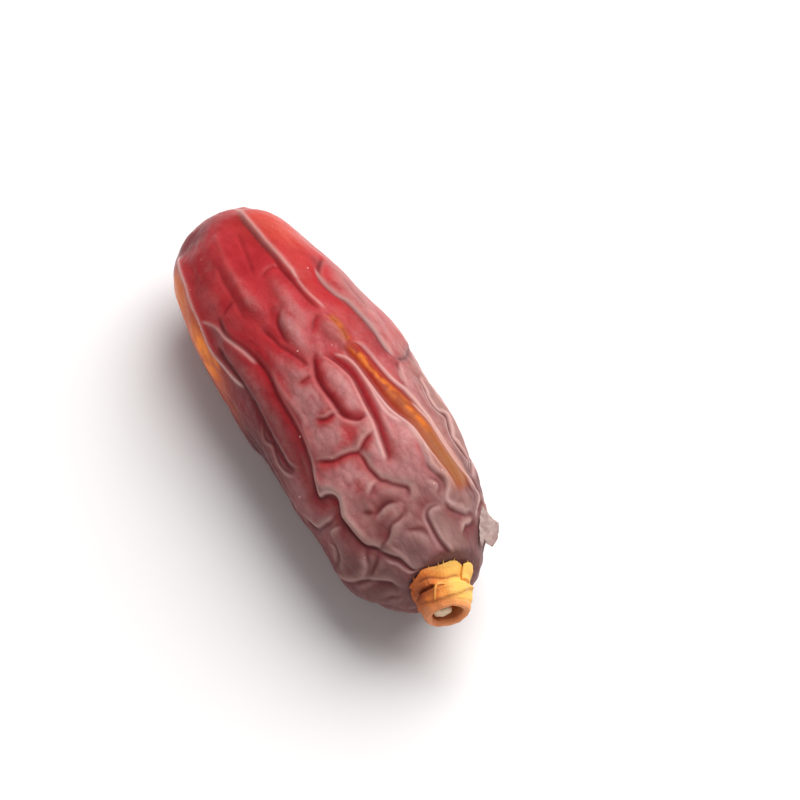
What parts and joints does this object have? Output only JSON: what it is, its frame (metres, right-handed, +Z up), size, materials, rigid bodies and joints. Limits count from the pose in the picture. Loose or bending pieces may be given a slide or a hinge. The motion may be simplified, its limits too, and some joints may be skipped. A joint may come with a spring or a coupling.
{
  "type": "date fruit",
  "caption": "Ripe half dried date lying on its side, with a wrinkled ruby skin, an amber seam and the straw coloured cap of calyx and petals on its stalk end.",
  "frame": {"origin": "middle of the flat spot on which the fruit rests", "axes": "+X from the blossom end to the stalk end, +Z up away from the surface it lies on"},
  "size_m": [0.0553, 0.0195, 0.0187],
  "materials": {
    "date_skin": "smooth wrinkled ripe skin, ruby to mauve with an amber seam, softly glossy",
    "straw": "dry straw coloured husk with fine fibres, matt",
    "pale_core": "pale dry pith, matt"
  },
  "bodies": {
    "root": {"fruit": "date_skin", "calyx": "straw", "petal_1": "straw", "petal_2": "straw", "petal_3": "straw", "receptacle": "pale_core"}
  },
  "joints": []
}
